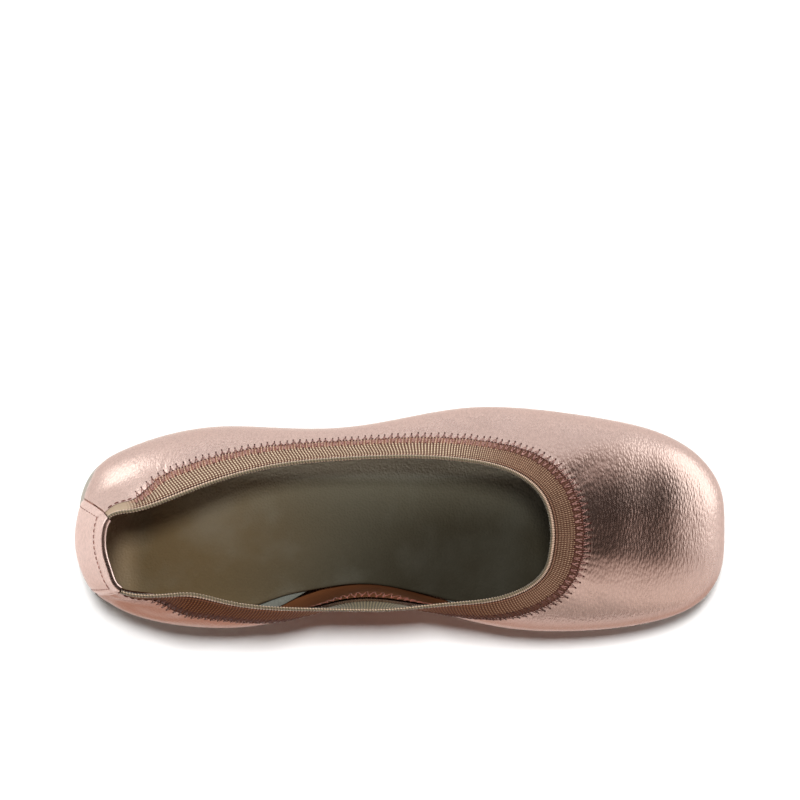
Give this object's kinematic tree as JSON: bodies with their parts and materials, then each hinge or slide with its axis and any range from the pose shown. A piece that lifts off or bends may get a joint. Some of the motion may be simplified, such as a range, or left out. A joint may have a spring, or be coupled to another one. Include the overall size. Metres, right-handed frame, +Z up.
{
  "type": "ballet flat",
  "caption": "Left ballet flat in rose-gold metallic leather with a ribbed elastic topline, a square toe, a heel strip and a low moulded rubber sole.",
  "frame": {"origin": "Under the middle of the bounding box, on the ground plane the sole stands on.", "axes": "+X points to the toe, +Y to the outer (little-toe) side of this left shoe, -Y to its inner side, and +Z up."},
  "size_m": [0.235, 0.0815, 0.0565],
  "materials": {
    "upper_leather": "rose-gold foil on finely grained nappa, semi-gloss",
    "webbing": "ribbed elastic webbing, matt",
    "strip_leather": "rose-gold foil on nappa, semi-gloss",
    "sole_rubber": "moulded, matt",
    "sock_leather": "dark olive metallic sock leather, satin"
  },
  "bodies": {
    "root": {"upper": "upper_leather", "elastic_binding": "webbing", "heel_strip": "strip_leather", "sole": "sole_rubber", "insole": "sock_leather"}
  },
  "joints": []
}
